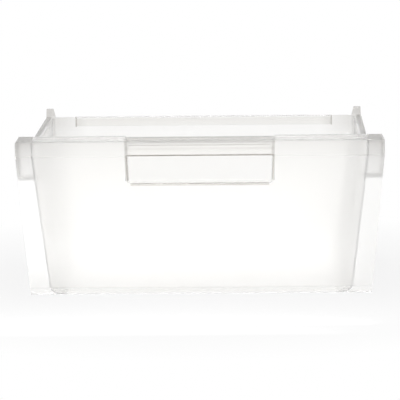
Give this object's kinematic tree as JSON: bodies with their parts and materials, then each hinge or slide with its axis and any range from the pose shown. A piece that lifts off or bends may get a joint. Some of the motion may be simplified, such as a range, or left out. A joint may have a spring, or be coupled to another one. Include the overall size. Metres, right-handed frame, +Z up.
{
  "type": "freezer drawer",
  "caption": "Clear plastic freezer drawer: drafted tub, wide front with a recessed finger grip under a grooved bar, box ears, side flanges that ride on ledges, and stop lugs at the back.",
  "frame": {"origin": "middle of the bounding box at the height of the base", "axes": "+X across the front to the right as the picture shows it, -Y out of the front, +Z up"},
  "size_m": [0.45, 0.245, 0.2037],
  "materials": {
    "clear_plastic": "clear polystyrene, slightly milky, with a moulded gloss"
  },
  "bodies": {
    "root": {"drawer": "clear_plastic"}
  },
  "joints": []
}
